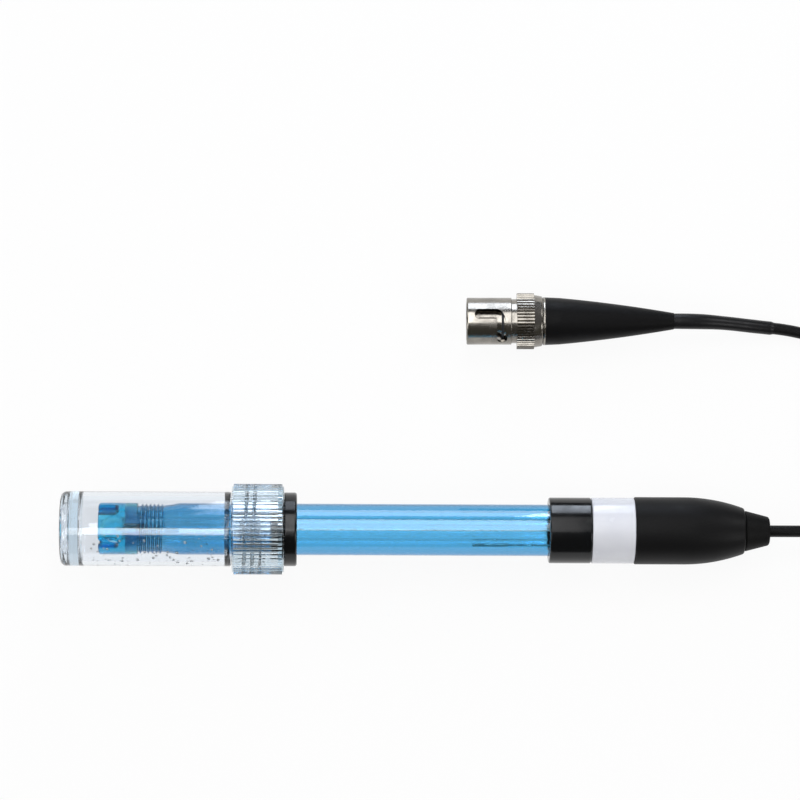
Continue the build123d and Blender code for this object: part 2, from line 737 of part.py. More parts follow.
probe_pieces = {
    "stem_tube": make_stem_tube(),
    "bulb_guard": make_bulb_guard(),
    "glass_stem": make_glass_stem(),
    "measuring_wire": make_measuring_wire(),
    "reference_wire": make_reference_wire(),
    "junction_wick": make_junction_wick(),
    "tip_seal": make_tip_seal(),
    "top_seal": make_top_seal(),
    "collar_ring": make_collar_ring(),
    "fill_sleeve": make_fill_sleeve(),
    "handle_cap": make_handle_cap(),
    "potting_fill": make_potting_fill(),
    "strain_relief": make_strain_relief(),
    "storage_bottle": make_storage_bottle(),
    "bottle_nut": make_bottle_nut(),
    "bottle_seal": make_bottle_seal(),
}
plug_pieces = {
    "coupling_nut": make_coupling_nut(),
    "plug_body": make_plug_body(),
    "plug_insulator": make_plug_insulator(),
    "centre_pin": make_centre_pin(),
    "plug_gasket": make_plug_gasket(),
    "spring_washer": make_spring_washer(),
    "thrust_washer": make_thrust_washer(),
    "crimp_ferrule": make_crimp_ferrule(),
    "plug_boot": make_plug_boot(),
}
lead_pieces = {
    "lead_probe_side": swept(probe_path, cable_d),
    "lead_plug_side": swept(plug_path, cable_d),
    "lead_coil": make_lead_coil(),
    "shrink_tube": make_shrink_tube(plug_radii),
}

os.makedirs("parts", exist_ok=True)
for name, piece in probe_pieces.items():
    export_step(lay_probe * piece, f"parts/{name}.step")
for name, piece in plug_pieces.items():
    export_step(lay_plug * piece, f"parts/{name}.step")
for name, piece in lead_pieces.items():
    export_step(piece, f"parts/{name}.step")

section = pi * cable_d ** 2 / 4
for name, path, radii in (("probe side", probe_path, probe_radii), ("plug side", plug_path, plug_radii)):
    print(f"lead, {name}: length {path.length:.1f} mm, radii", [round(radius, 1) for radius in radii])
for name, path in (("lead_probe_side", probe_path), ("lead_plug_side", plug_path)):
    volume = lead_pieces[name].volume
    print(f"{name}: volume {volume:.2f}, section times length {section * path.length:.2f}")
print(f"probe lies at {degrees(lie_angle):.3f} degrees")
print(f"middle at x {middle_x:.4f}, axis height {axis_height:.4f}")
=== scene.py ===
"""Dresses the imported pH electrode: its lead, threads, condensation and finishes, the studio and the camera.

Lengths are in metres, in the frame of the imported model. Each sub-assembly is a class that holds its sizes and
builds and dresses its own pieces.
"""
import json
import logging
from dataclasses import dataclass, field
from enum import Enum
from math import cos, floor, log, pi, radians, sin, sqrt

import bmesh
import bpy
from mathutils import Matrix, Vector


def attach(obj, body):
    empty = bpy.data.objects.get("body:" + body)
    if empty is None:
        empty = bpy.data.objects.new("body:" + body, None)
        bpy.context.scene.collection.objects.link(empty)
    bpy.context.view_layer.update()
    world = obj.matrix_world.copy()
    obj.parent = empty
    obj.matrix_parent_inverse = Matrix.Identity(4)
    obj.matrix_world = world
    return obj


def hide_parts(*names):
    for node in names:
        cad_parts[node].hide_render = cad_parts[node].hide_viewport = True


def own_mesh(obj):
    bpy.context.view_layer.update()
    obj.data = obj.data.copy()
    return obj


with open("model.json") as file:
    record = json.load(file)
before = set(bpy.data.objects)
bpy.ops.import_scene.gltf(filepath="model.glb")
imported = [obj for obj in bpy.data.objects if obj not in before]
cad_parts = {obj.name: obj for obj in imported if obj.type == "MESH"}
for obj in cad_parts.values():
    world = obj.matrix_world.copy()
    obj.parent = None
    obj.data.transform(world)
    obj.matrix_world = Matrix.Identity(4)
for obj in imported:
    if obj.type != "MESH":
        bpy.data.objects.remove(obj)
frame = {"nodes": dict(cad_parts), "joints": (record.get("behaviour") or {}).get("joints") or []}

MM = 0.001
WHITE = "#ffffff"
NOISE_LOW, NOISE_HIGH = 0.3, 0.7     # a noise texture keeps mostly between these values
LOG = logging.getLogger("ph_electrode")

Socket = bpy.types.NodeSocket
Point = tuple[float, float, float]
Inputs = dict[str | int, object]


# Helpers

def to_linear(code: str, alpha: float = 1.0) -> tuple[float, float, float, float]:
    """Turns an sRGB hex colour into linear values, by the standard's own curve.

    Args:
        code: six hex digits after a hash sign.
        alpha: the fourth value.

    Returns:
        Red, green, blue and alpha for a colour socket.
    """
    channels = [int(code[i:i + 2], 16) / 255 for i in (1, 3, 5)]
    linear = [c / 12.92 if c <= 0.04045 else ((c + 0.055) / 1.055) ** 2.4 for c in channels]
    return linear[0], linear[1], linear[2], alpha


def add_node(tree: bpy.types.NodeTree, kind: str, links: Inputs | None = None, **settings: object
             ) -> bpy.types.Node:
    """Adds one node with its settings and its inputs.

    Args:
        tree: the node tree.
        kind: Blender's type name of the node.
        links: input name or index, with the socket that feeds it or the value that it holds.
        settings: attributes of the node.

    Returns:
        The new node.
    """
    node = tree.nodes.new(kind)
    for name, value in settings.items():
        setattr(node, name, value)
    for name, source in (links or {}).items():
        if isinstance(source, Socket):
            tree.links.new(source, node.inputs[name])
        else:
            node.inputs[name].default_value = source
    return node


def link_object(name: str, data: bpy.types.ID) -> bpy.types.Object:
    """Makes an object at the origin and puts it in the scene.

    Args:
        name: the object's name.
        data: its mesh, curve, lamp or camera.

    Returns:
        The object.
    """
    piece = bpy.data.objects.new(name, data)
    bpy.context.scene.collection.objects.link(piece)
    return piece


def find_joint(name: str) -> dict:
    """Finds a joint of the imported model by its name."""
    return next(j for j in frame["joints"] if j["name"] == name)


def plain_mesh(piece: bpy.types.Object) -> bpy.types.Mesh:
    """Copies a piece, as its modifiers or its curve make it, to a plain mesh."""
    depsgraph = bpy.context.evaluated_depsgraph_get()
    return bpy.data.meshes.new_from_object(piece.evaluated_get(depsgraph), depsgraph=depsgraph)


def new_geometry_tree(name: str, sizes: dict[str, str]) -> bpy.types.NodeTree:
    """Starts a Geometry Nodes tree with a geometry input, named inputs and a geometry output.

    Args:
        name: the tree's name.
        sizes: each input's name with its kind: Float, Int or Vector. A Material input is added.

    Returns:
        The tree, which holds nothing yet but its interface.
    """
    tree = bpy.data.node_groups.new(name, "GeometryNodeTree")
    for size, kind in {"Geometry": "Geometry", **sizes, "Material": "Material"}.items():
        tree.interface.new_socket(size, in_out="INPUT", socket_type=f"NodeSocket{kind}")
    tree.interface.new_socket("Geometry", in_out="OUTPUT", socket_type="NodeSocketGeometry")
    return tree


def finish_tree(tree: bpy.types.NodeTree, shape: Socket, material: Socket) -> None:
    """Ends a tree in Realize Instances and Set Material, with smooth shading.

    Args:
        tree: the Geometry Nodes tree.
        shape: the geometry that it has made.
        material: the material that it was given.
    """
    real = add_node(tree, "GeometryNodeRealizeInstances", {"Geometry": shape})
    smooth = add_node(tree, "GeometryNodeSetShadeSmooth", {"Geometry": real.outputs[0]})
    dressed = add_node(tree, "GeometryNodeSetMaterial", {"Geometry": smooth.outputs[0], "Material": material})
    add_node(tree, "NodeGroupOutput", {0: dressed.outputs[0]})


def grow(name: str, tree: bpy.types.NodeTree, values: dict[str, object],
         start: bpy.types.Mesh | None = None) -> bpy.types.Object:
    """Runs a Geometry Nodes tree once and keeps its result as a plain mesh.

    Args:
        name: the piece's name.
        tree: the tree to run.
        values: each named input with its value.
        start: the mesh that the tree starts from, if it needs one.

    Returns:
        The piece, with no modifier left on it.
    """
    piece = link_object(name, start or bpy.data.meshes.new(name))
    modifier = piece.modifiers.new("shape", "NODES")
    modifier.node_group = tree
    for item in tree.interface.items_tree:
        if item.item_type == "SOCKET" and item.in_out == "INPUT" and item.name in values:
            modifier[item.identifier] = values[item.name]
    mesh = plain_mesh(piece)
    piece.modifiers.remove(modifier)
    piece.data = mesh
    return piece


# Finishes

@dataclass(frozen=True)
class Finish:
    """A surface's base values; each kind of surface adds its own pattern."""

    name: str
    colour: str
    roughness: float
    ior: float = 1.5

    def surface(self, tree: bpy.types.NodeTree, place: Socket) -> Inputs:
        """What the surface's pattern gives the shader: nothing on a plain one."""
        return {}

    def inside(self, tree: bpy.types.NodeTree) -> Inputs:
        """What the piece's inside gives the output: nothing in an opaque one."""
        return {}

    def build(self) -> bpy.types.Material:
        """Builds the material from its Object coordinates, its pattern, the shader and the output.

        Returns:
            The material.
        """
        material = bpy.data.materials.new(self.name)
        material.use_nodes = True
        tree = material.node_tree
        tree.nodes.clear()
        place = add_node(tree, "ShaderNodeTexCoord").outputs["Object"]
        shader = add_node(tree, "ShaderNodeBsdfPrincipled", {
            "Base Color": to_linear(self.colour), "Roughness": self.roughness, "IOR": self.ior,
            **self.surface(tree, place),
        })
        add_node(tree, "ShaderNodeOutputMaterial", {"Surface": shader.outputs[0], **self.inside(tree)})
        return material


@dataclass(frozen=True)
class MouldedPlastic(Finish):
    """Opaque moulded plastic or rubber: an even skin with a mould grain and a little mottle.

    A real mould grain is under 0.1 mm wide, which is too fine to show, so grain_mm draws it coarser.
    """

    second: str = "#000000"
    grain_mm: float = 0.25
    depth_mm: float = 0.006
    mottle_mm: float = 6.0
    rough_spread: float = 0.05
    gloss: float = 0.5
    coat: float = 0.0

    def surface(self, tree: bpy.types.NodeTree, place: Socket) -> Inputs:
        """Adds the mottle, which changes colour and roughness, and the mould grain.

        Args:
            tree: the material's node tree.
            place: its Object coordinates.

        Returns:
            What the shader's inputs get.
        """
        mottle = add_node(tree, "ShaderNodeTexNoise", {
            "Vector": place, "Scale": 1 / (self.mottle_mm * MM), "Detail": 3.0,
        }).outputs["Fac"]
        spread = (self.roughness - self.rough_spread, self.roughness + self.rough_spread)
        share, rough = (add_node(tree, "ShaderNodeMapRange", {
            "Value": mottle, "From Min": NOISE_LOW, "From Max": NOISE_HIGH, "To Min": low, "To Max": high,
        }).outputs[0] for low, high in ((0.0, 1.0), spread))
        # A Mix node of colours has them at its inputs 6 and 7 and at its output 2
        mixed = add_node(tree, "ShaderNodeMix", {
            0: share, 6: to_linear(self.colour), 7: to_linear(self.second),
        }, data_type="RGBA").outputs[2]
        grain = add_node(tree, "ShaderNodeTexNoise", {
            "Vector": place, "Scale": 1 / (self.grain_mm * MM), "Detail": 2.0,
        }).outputs["Fac"]
        bump = add_node(tree, "ShaderNodeBump", {
            "Height": grain, "Strength": 1.0, "Distance": self.depth_mm * MM,
        }).outputs[0]
        return {
            "Base Color": mixed, "Roughness": rough, "Normal": bump, "Specular IOR Level": self.gloss,
            "Coat Weight": self.coat,
        }


@dataclass(frozen=True)
class ClearPlastic(Finish):
    """Clear or tinted plastic: it bends what is behind it and deepens in colour where it is thick."""

    transmission: float = 1.0
    through: str = WHITE
    thickness_mm: float = 2.0
    flow_mm: float = 9.0
    flow_along: float = 1.0
    depth_mm: float = 0.004
    least_passed: float = 0.02

    def surface(self, tree: bpy.types.NodeTree, place: Socket) -> Inputs:
        """Adds gentle flow waves.

        Args:
            tree: the material's node tree.
            place: its Object coordinates.

        Returns:
            What the shader's inputs get.
        """
        # An extruded piece has its waves drawn out along X
        longer = (1 / self.flow_along, 1.0, 1.0)
        drawn = add_node(tree, "ShaderNodeMapping", {"Vector": place, "Scale": longer}).outputs[0]
        flow = add_node(tree, "ShaderNodeTexNoise", {
            "Vector": drawn, "Scale": 1 / (self.flow_mm * MM), "Detail": 1.0,
        }).outputs["Fac"]
        bump = add_node(tree, "ShaderNodeBump", {
            "Height": flow, "Strength": 1.0, "Distance": self.depth_mm * MM,
        }).outputs[0]
        return {"Transmission Weight": self.transmission, "Normal": bump}

    def inside(self, tree: bpy.types.NodeTree) -> Inputs:
        """Adds the colour that light takes on over thickness_mm of the plastic.

        Args:
            tree: the material's node tree.

        Returns:
            The volume for the output, or nothing where the plastic has no colour of its own.
        """
        if self.through == WHITE:
            return {}
        # The channel that is lost fastest sets the density, and the others pass by what they lose less
        passed = [max(c, self.least_passed) for c in to_linear(self.through)[:3]]
        loss = [-log(c) / (self.thickness_mm * MM) for c in passed]
        density = max(loss)
        colour = [1 - v / density for v in loss] + [1.0]
        volume = add_node(tree, "ShaderNodeVolumeAbsorption", {"Color": colour, "Density": density})
        return {"Volume": volume.outputs[0]}


@dataclass(frozen=True)
class PlatedMetal(Finish):
    """Turned and plated metal: turning lines under a bright plate, with faint cloudy wear.

    Real turning lines are some 0.03 mm apart, which is too fine to show, so line_mm draws them coarser.
    """

    second: str = "#8f8a84"
    line_mm: float = 0.12
    line_stretch: float = 0.04
    line_depth_mm: float = 0.0015
    cloud_mm: float = 3.0
    cloud_share: float = 0.6
    smoothest: float = 0.7
    roughest: float = 1.5

    def surface(self, tree: bpy.types.NodeTree, place: Socket) -> Inputs:
        """Adds the wear, which changes colour and roughness, and the turning lines.

        Args:
            tree: the material's node tree.
            place: its Object coordinates.

        Returns:
            What the shader's inputs get.
        """
        cloud = add_node(tree, "ShaderNodeTexNoise", {
            "Vector": place, "Scale": 1 / (self.cloud_mm * MM), "Detail": 4.0,
        }).outputs["Fac"]
        spread = (self.roughness * self.smoothest, self.roughness * self.roughest)
        share, rough = (add_node(tree, "ShaderNodeMapRange", {
            "Value": cloud, "From Min": NOISE_LOW, "From Max": NOISE_HIGH, "To Min": low, "To Max": high,
        }).outputs[0] for low, high in ((0.0, self.cloud_share), spread))
        mixed = add_node(tree, "ShaderNodeMix", {
            0: share, 6: to_linear(self.colour), 7: to_linear(self.second),
        }, data_type="RGBA").outputs[2]
        # Turning lines run round the plug's axis, so the pattern is drawn out across it
        across = (1.0, self.line_stretch, self.line_stretch)
        drawn = add_node(tree, "ShaderNodeMapping", {"Vector": place, "Scale": across}).outputs[0]
        lines = add_node(tree, "ShaderNodeTexNoise", {
            "Vector": drawn, "Scale": 1 / (self.line_mm * MM), "Detail": 1.0,
        }).outputs["Fac"]
        bump = add_node(tree, "ShaderNodeBump", {
            "Height": lines, "Strength": 1.0, "Distance": self.line_depth_mm * MM,
        }).outputs[0]
        return {"Base Color": mixed, "Metallic": 1.0, "Roughness": rough, "Normal": bump}


# Blue polycarbonate stem: clear tinted tube, polished, so the glass shows in it and its edges look darker
BLUE_STEM = ClearPlastic("blue_polycarbonate_extruded", "#f4fbff", 0.04, 1.585, through="#62b5dd",
                         thickness_mm=2.7, flow_mm=4.0, flow_along=5.0, depth_mm=0.006)
# Blue polycarbonate guard: the same resin in a thicker moulding, which looks deeper
BLUE_GUARD = ClearPlastic("blue_polycarbonate_moulded", "#c4f5ff", 0.2, 1.585, transmission=0.96,
                          through="#86eeff", thickness_mm=1.8, depth_mm=0.008)
# Blue polycarbonate thread: cut into the tube's front, in a deeper-tinted copy of the tube's resin that is
# painted shade on its flanks
BLUE_THREAD_PAINTED_SHADE = ClearPlastic("blue_polycarbonate_threaded_painted_shade", "#c4f6ff", 0.08, 1.585, transmission=0.96,
                           through="#7edcf8", thickness_mm=1.8, depth_mm=0.004)
# Borosilicate glass: thin, clean and without colour
GLASS = ClearPlastic("borosilicate_glass", WHITE, 0.02, 1.47, depth_mm=0.001)
# Polystyrene bottle: clear moulding with a faint cool cast and gentle flow waves
BOTTLE_CLEAR = ClearPlastic("clear_polystyrene_moulded", "#f8fafd", 0.03, 1.55, through="#f5f8fa",
                            thickness_mm=3.0, depth_mm=0.02)
# Polystyrene cap: the same resin with a duller skin, which makes the ribs read grey and white
NUT_CLEAR = ClearPlastic("clear_polystyrene_ribbed", "#fafcfd", 0.1, 1.55, through="#e9f0f4",
                         thickness_mm=3.0, depth_mm=0.01)
# Beads of the storage solution: not fully clear, with a white share that is a painted glint, so they read as
# small pale dots
WATER_PAINTED_GLINT = ClearPlastic("storage_solution_painted_glint", WHITE, 0.05, 1.34, transmission=0.6, depth_mm=0.0005)
# Silver wire, drawn, with a thin chloride coat, which dulls it a little
SILVER = PlatedMetal("drawn_silver", "#efede6", 0.32, second="#9a958c", line_mm=0.2, cloud_mm=2.0)
# Ceramic wick: porous, white and matte
WICK = MouldedPlastic("porous_ceramic", "#ece9df", 0.8, second="#dcd7c9", grain_mm=0.12, depth_mm=0.02)
# Epoxy seal: cast resin behind the bulb, cloudy and faintly blue
TIP_EPOXY = ClearPlastic("cast_epoxy", "#cbf1ff", 0.2, 1.52, transmission=0.97, flow_mm=1.5, depth_mm=0.01)
# Black rubber of the sleeve and the grommet: moulded smooth, so it is deep black with soft highlights
BLACK_RUBBER = MouldedPlastic("black_rubber_moulded", "#0b0d10", 0.17, 1.52, second="#090a0c", grain_mm=0.35,
                              depth_mm=0.004, mottle_mm=4.0, gloss=0.34)
# White ABS collar: glossy moulding
WHITE_ABS = MouldedPlastic("white_abs_moulded", "#e6e8ef", 0.24, 1.54, second="#dfe1ea", grain_mm=0.8,
                           depth_mm=0.002, mottle_mm=7.0, coat=0.2)
# Black ABS cap: spark-textured mould, matte
BLACK_ABS = MouldedPlastic("black_abs_textured", "#131314", 0.44, 1.5, second="#0f0f10", grain_mm=0.22,
                           depth_mm=0.012, mottle_mm=9.0, gloss=0.14)
# Potting resin: cast and level, so it is smooth and dark
POTTING = MouldedPlastic("black_epoxy_cast", "#1c1c1d", 0.3, second="#161617", grain_mm=1.5, depth_mm=0.01)
# Thermoplastic rubber of the strain relief: dull
RELIEF_RUBBER = MouldedPlastic("thermoplastic_rubber", "#131313", 0.52, 1.5, second="#0f0f0f", grain_mm=0.2,
                               depth_mm=0.01, gloss=0.1)
# Nickel plate over turned brass: slightly warm, and a mid grey between its highlights
NICKEL = PlatedMetal("nickel_plated_brass", "#98948d", 0.2, second="#6e6a65")
# Spring steel, stamped from bright strip: plain grey with a shine
SPRING_STEEL = PlatedMetal("stamped_spring_steel", "#a9a9a8", 0.25, second="#868686")
# Fluoropolymer insulator: waxy white
INSULATOR = MouldedPlastic("white_fluoropolymer", "#eae8e0", 0.35, 1.38, second="#e0ddd3", grain_mm=0.5,
                           depth_mm=0.003)
# Gold flash over brass: yellow and bright
GILT = PlatedMetal("gold_flash", "#d9b35c", 0.18, second="#b98f3f")
# Silicone gasket: soft, dark grey and dull
SILICONE = MouldedPlastic("grey_silicone", "#33363a", 0.5, 1.41, second="#2b2d30", grain_mm=0.4)
# Soft vinyl boot: satin skin with faint moulding mottle
BOOT_VINYL = MouldedPlastic("black_vinyl_boot", "#121213", 0.42, 1.5, second="#0e0e0f", grain_mm=0.3,
                            depth_mm=0.006, mottle_mm=5.0, gloss=0.1)
# Vinyl lead jacket: extruded, satin
LEAD_VINYL = MouldedPlastic("black_vinyl_jacket", "#151516", 0.36, 1.5, second="#101011", grain_mm=0.4,
                            depth_mm=0.006, mottle_mm=8.0, gloss=0.17)
# Polyolefin shrink tube: smooth, a shade lighter than the jacket
SHRINK_POLYOLEFIN = MouldedPlastic("black_polyolefin_shrunk", "#1a1a1c", 0.34, 1.5, second="#151517",
                                   grain_mm=0.9, depth_mm=0.006, mottle_mm=3.0, gloss=0.22)


class Library:
    """Builds each finish and the thread's tree once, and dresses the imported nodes."""

    def __init__(self) -> None:
        """Starts with the thread's tree and no material made."""
        self.made: dict[str, bpy.types.Material] = {}
        self.threads = ThreadTree().build()

    def get(self, finish: Finish) -> bpy.types.Material:
        """Gives the material of a finish, made the first time that it is asked for.

        Args:
            finish: the finish.

        Returns:
            Its material.
        """
        if finish.name not in self.made:
            self.made[finish.name] = finish.build()
        return self.made[finish.name]

    def dress(self, finishes: dict[str, Finish]) -> None:
        """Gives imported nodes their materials, in every slot.

        Args:
            finishes: each node's name with its finish.
        """
        for node, finish in finishes.items():
            for place in frame["nodes"][node].material_slots:
                place.material = self.get(finish)
            LOG.info("dressed %s with %s", node, finish.name)


# Placement

@dataclass(frozen=True)
class ProbeAxis:
    """The probe's own axis: places along it are measured from the bottle's outer end."""

    nut_middle: float = 50.0 * MM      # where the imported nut's hinge point lies along the axis

    def place(self, start: float) -> Matrix:
        """Gives the matrix that lays a shape, made along its local Z, on the axis.

        Args:
            start: where the shape's origin comes along the axis.

        Returns:
            The matrix.
        """
        hinge = find_joint("nut_turn")
        way = Vector(hinge["axis"]).normalized()
        side = Vector((0, 1, 0))
        turn = Matrix((way, side, way.cross(side))).transposed().to_4x4()
        along_x = Matrix.Translation((start, 0, 0)) @ Matrix.Rotation(pi / 2, 4, "Y")
        return Matrix.Translation(Vector(hinge["pos_m"]) - way * self.nut_middle) @ turn @ along_x


PROBE_AXIS = ProbeAxis()


class ThreadSide(Enum):
    """Which way a thread's ridge stands from its carrier."""

    OUTSIDE = 1
    INSIDE = -1


@dataclass(frozen=True)
class ThreadTree:
    """Geometry Nodes tree of one right-handed screw thread about the Z axis, starting at the origin."""

    points_per_turn: int = 72
    run_out: float = 0.25      # turns over which the ridge runs out at each end
    thinnest: float = 0.05     # share of the ridge's section that is left at its very ends

    def build(self) -> bpy.types.NodeTree:
        """Builds the tree.

        Returns:
            The tree, which takes the thread's sizes as its inputs.
        """
        tree = new_geometry_tree("screw_thread", dict.fromkeys(
            ("Turns", "Pitch", "Radius", "Inner Width", "Outer Width", "Height", "Side"), "Float"))
        given = add_node(tree, "NodeGroupInput").outputs
        rise = add_node(tree, "ShaderNodeMath", {0: given["Turns"], 1: given["Pitch"]}, operation="MULTIPLY")
        line = add_node(tree, "GeometryNodeCurveSpiral", {
            "Resolution": self.points_per_turn, "Rotations": given["Turns"], "Height": rise.outputs[0],
            "Start Radius": given["Radius"], "End Radius": given["Radius"],
        })
        upright = add_node(tree, "GeometryNodeSetCurveNormal", {"Curve": line.outputs[0]}, mode="Z_UP")
        # The ridge's section shrinks over the run-out at each end
        along = add_node(tree, "GeometryNodeSplineParameter").outputs["Factor"]
        back = add_node(tree, "ShaderNodeMath", {0: 1.0, 1: along}, operation="SUBTRACT").outputs[0]
        nearer = add_node(tree, "ShaderNodeMath", {0: along, 1: back}, operation="MINIMUM").outputs[0]
        turns = add_node(tree, "ShaderNodeMath", {0: nearer, 1: given["Turns"]}, operation="MULTIPLY")
        ramp = add_node(tree, "ShaderNodeMath", {0: turns.outputs[0], 1: 1 / self.run_out},
                        operation="MULTIPLY", use_clamp=True).outputs[0]
        fade = add_node(tree, "ShaderNodeMath", {0: ramp, 1: self.thinnest}, operation="MAXIMUM").outputs[0]
        # As it shrinks, its middle sinks by half of the height that is lost, so its foot stays in the wall
        up = add_node(tree, "ShaderNodeMath", {0: given["Height"], 1: given["Side"]}, operation="MULTIPLY")
        lost = add_node(tree, "ShaderNodeMath", {0: fade, 1: 1.0}, operation="SUBTRACT").outputs[0]
        sink = add_node(tree, "ShaderNodeMath", {0: lost, 1: up.outputs[0]}, operation="MULTIPLY").outputs[0]
        half = add_node(tree, "ShaderNodeMath", {0: sink, 1: 0.5}, operation="MULTIPLY").outputs[0]
        point = add_node(tree, "GeometryNodeInputPosition").outputs[0]
        level = add_node(tree, "ShaderNodeVectorMath", {0: point, 1: (1.0, 1.0, 0.0)}, operation="MULTIPLY")
        way = add_node(tree, "ShaderNodeVectorMath", {0: level.outputs[0]}, operation="NORMALIZE").outputs[0]
        move = add_node(tree, "ShaderNodeVectorMath", {0: way, "Scale": half}, operation="SCALE").outputs[0]
        sunk = add_node(tree, "GeometryNodeSetPosition", {"Geometry": upright.outputs[0], "Offset": move})
        profile = add_node(tree, "GeometryNodeCurvePrimitiveQuadrilateral", {
            "Bottom Width": given["Inner Width"], "Top Width": given["Outer Width"],
            "Height": given["Height"], "Offset": 0.0,
        }, mode="TRAPEZOID")
        # A quarter turn makes the profile's height stand out from the axis
        upended = add_node(tree, "GeometryNodeTransform", {
            "Geometry": profile.outputs[0], "Rotation": (0.0, 0.0, pi / 2),
        })
        ridge = add_node(tree, "GeometryNodeCurveToMesh", {
            "Curve": sunk.outputs[0], "Profile Curve": upended.outputs[0], "Scale": fade, "Fill Caps": True,
        })
        finish_tree(tree, ridge.outputs[0], given["Material"])
        return tree


@dataclass
class Thread:
    """One screw thread on a piece of the probe; its root is the radius of the wall that carries it."""

    name: str
    body: str
    slot: str
    finish: Finish
    start: float
    length: float
    pitch: float
    root: float
    height: float
    foot: float
    crest: float
    side: ThreadSide = ThreadSide.OUTSIDE
    overlap: float = 0.05 * MM     # how far the foot lies in the wall

    def build(self, library: Library) -> bpy.types.Object:
        """Builds the thread in its place.

        Args:
            library: the materials and the thread's tree.

        Returns:
            The thread's piece.
        """
        inner, outer = self.foot, self.crest
        if self.side is ThreadSide.INSIDE:
            inner, outer = outer, inner
        piece = grow(self.name, library.threads, {
            "Turns": self.length / self.pitch, "Pitch": self.pitch, "Height": self.height,
            "Radius": self.root + self.side.value * (self.height / 2 - self.overlap), "Inner Width": inner,
            "Outer Width": outer, "Side": float(self.side.value), "Material": library.get(self.finish),
        })
        piece.data.transform(PROBE_AXIS.place(self.start))
        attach(piece, self.body)
        LOG.info("built %s with %d faces", self.name, len(piece.data.polygons))
        return piece


# The lead

@dataclass
class Lead:
    """The lead: out of the strain relief, round the put-away coil and into the plug's boot."""

    diameter: float = 3.0 * MM
    length: float = 1.0
    coil_centre: tuple[float, float] = (126.0 * MM, 26.5 * MM)
    outer_turn: float = 22.5 * MM
    bottom_turns: float = 4.5
    top_first_turn: float = 12.0 * MM
    top_turns: int = 4
    jog: float = 0.15              # part of a turn over which it steps to the next one
    climb: float = 0.2             # part of a turn over which it climbs to the top layer
    points_per_turn: int = 24
    steps_per_point: int = 6
    roundness: int = 5
    relief_route: list[Point] = field(default_factory=lambda: [
        (0.089486, 0.0, 0.007876), (0.097482, 0.0, 0.007648), (0.1065, 0.0004, 0.0049),
        (0.115, 0.0015, 0.0021), (0.1235, 0.0033, 0.0015),
    ])
    boot_route: list[Point] = field(default_factory=lambda: [
        (0.0661, 0.0543, 0.00715), (0.0717, 0.0543, 0.00715), (0.0792, 0.0542, 0.0054),
        (0.0874, 0.0537, 0.0029), (0.0964, 0.0530, 0.0018), (0.1056, 0.0505, 0.0017),
        (0.1155, 0.0479, 0.0047),
    ])

    def bottom_radius(self, turn: float) -> float:
        """Gives the radius of the bottom layer, which stays level and then jogs inwards in each turn.

        Args:
            turn: a place, in turns from the coil's start.

        Returns:
            The radius there.
        """
        step = max(0.0, (turn % 1 - (1 - self.jog)) / self.jog)
        eased = step ** 2 * (3 - 2 * step)
        return self.outer_turn - self.diameter * min(floor(turn) + eased, floor(self.bottom_turns))

    def resting_height(self, radius: float, turn: float) -> float:
        """Gives the height of a top-layer turn, which lies on the bottom turns at that place.

        Args:
            radius: the top turn's radius.
            turn: its place, in turns from the coil's start.

        Returns:
            The height of its centreline.
        """
        lattice = self.bottom_radius(turn % 1)
        aside = (radius - lattice + self.diameter / 2) % self.diameter - self.diameter / 2
        return self.diameter / 2 + sqrt(self.diameter ** 2 - aside ** 2)

    def coil_point(self, turn: float) -> Point:
        """Gives a point of the coil's route, which runs inwards on the bench and then outwards on top.

        Args:
            turn: the point's place, in turns from the coil's start.

        Returns:
            The control point.
        """
        d = self.diameter
        groove = pi / 3     # a turn that rests between two others leans on each at this angle
        if turn <= self.bottom_turns:
            radius, height = self.bottom_radius(turn), d / 2
            rise = (turn - (self.bottom_turns - self.climb)) / self.climb
            if rise > 0:
                neighbour = self.outer_turn - (floor(self.bottom_turns) - 1) * d
                radius = neighbour - d * cos(rise * groove)
                height = d / 2 + d * sin(rise * groove)
        else:
            over = turn - self.bottom_turns
            full = min(floor(over), self.top_turns - 1)
            step = max(0.0, (over - full - (1 - self.jog)) / self.jog) if full < self.top_turns - 1 else 0.0
            radius = self.top_first_turn + d * full + d / 2 - d * cos(groove * (1 + step))
            height = self.resting_height(radius, turn)
        # A spline of order three runs inside its points, since each neighbour draws it by an eighth
        inside = 1 - (1 - cos(2 * pi / self.points_per_turn)) / 8
        angle = 2 * pi * turn - pi / 2
        x, y = self.coil_centre
        return x + radius / inside * cos(angle), y + radius / inside * sin(angle), height

    def route(self) -> list[Point]:
        """Gives all control points of the lead, from the strain relief to the boot.

        Returns:
            The points in order.
        """
        steps = round((self.bottom_turns + self.top_turns) * self.points_per_turn)
        coil = [self.coil_point(i / self.points_per_turn) for i in range(steps + 1)]
        return self.relief_route + coil + self.boot_route[::-1]

    def spline(self, name: str, bevel: float) -> bpy.types.Object:
        """Makes a curve along the route.

        Args:
            name: the curve's name.
            bevel: its thickness from the centreline, or 0 for a bare line.

        Returns:
            The curve's object.
        """
        curve = bpy.data.curves.new(name, "CURVE")
        curve.dimensions = "3D"
        curve.resolution_u = self.steps_per_point
        curve.bevel_depth = bevel
        curve.bevel_resolution = self.roundness
        curve.use_fill_caps = bevel > 0
        points = self.route()
        line = curve.splines.new("NURBS")
        line.points.add(len(points) - 1)
        for place, point in zip(line.points, points):
            place.co = (*point, 1.0)
        line.order_u = 3
        line.use_endpoint_u = True
        return link_object(name, curve)

    def build(self, library: Library, with_pieces: list[bpy.types.Object | str]) -> bpy.types.Object:
        """Args:
            library: the materials.
            with_pieces: what is on the lead; not used.

        Returns:
            The lead's curve.
        """
        lead = self.spline("lead", self.diameter / 2)
        lead.data.materials.append(library.get(LEAD_VINYL))
        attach(lead, "probe")
        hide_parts("lead_probe_side", "lead_plug_side", "lead_coil")
        LOG.info("built lead through %d points", len(self.route()))
        return lead


